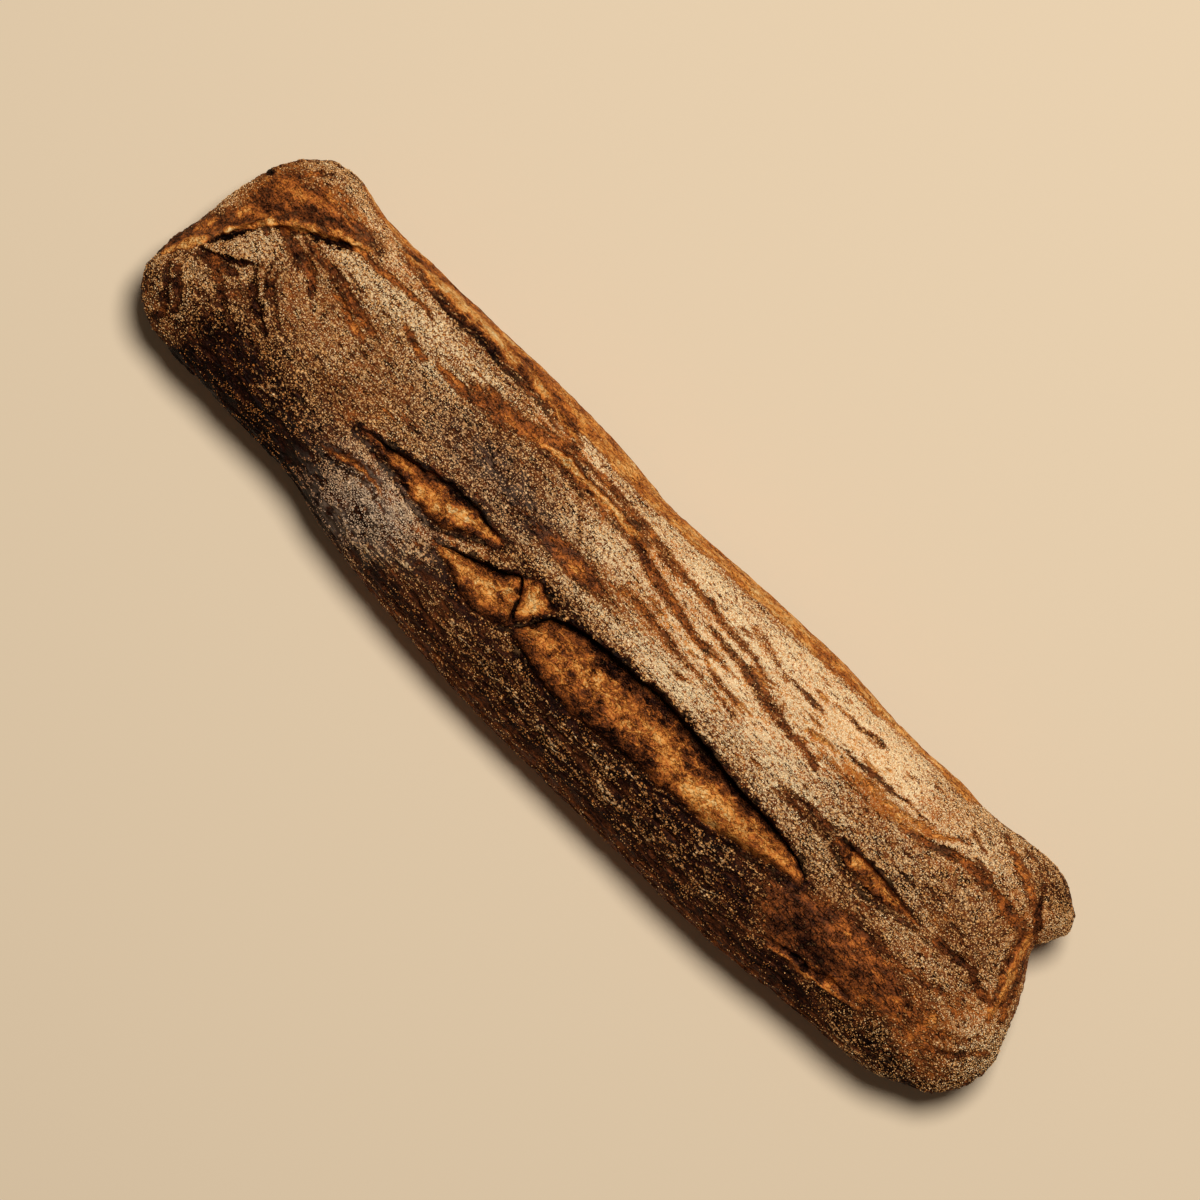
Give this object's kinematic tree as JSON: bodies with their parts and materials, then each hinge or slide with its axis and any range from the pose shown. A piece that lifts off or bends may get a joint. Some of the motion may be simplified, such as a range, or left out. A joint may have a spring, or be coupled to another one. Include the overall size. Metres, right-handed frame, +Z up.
{
  "type": "ciabatta",
  "caption": "Long, flat loaf of dark-baked ciabatta with rounded sides, blunt uneven ends, a floured crust and torn lengthwise splits in its top.",
  "frame": {"origin": "middle of the bounding box's base, on the surface that the loaf lies on", "axes": "+X along the loaf towards the end with two lobes, +Z up, +Y towards the side with the steeper shoulder"},
  "size_m": [0.4016, 0.1056, 0.0497],
  "materials": {
    "crust": "matte dark-baked crust dusted with coarse flour, satin where it is bare"
  },
  "bodies": {
    "root": {"loaf": "crust"}
  },
  "joints": []
}
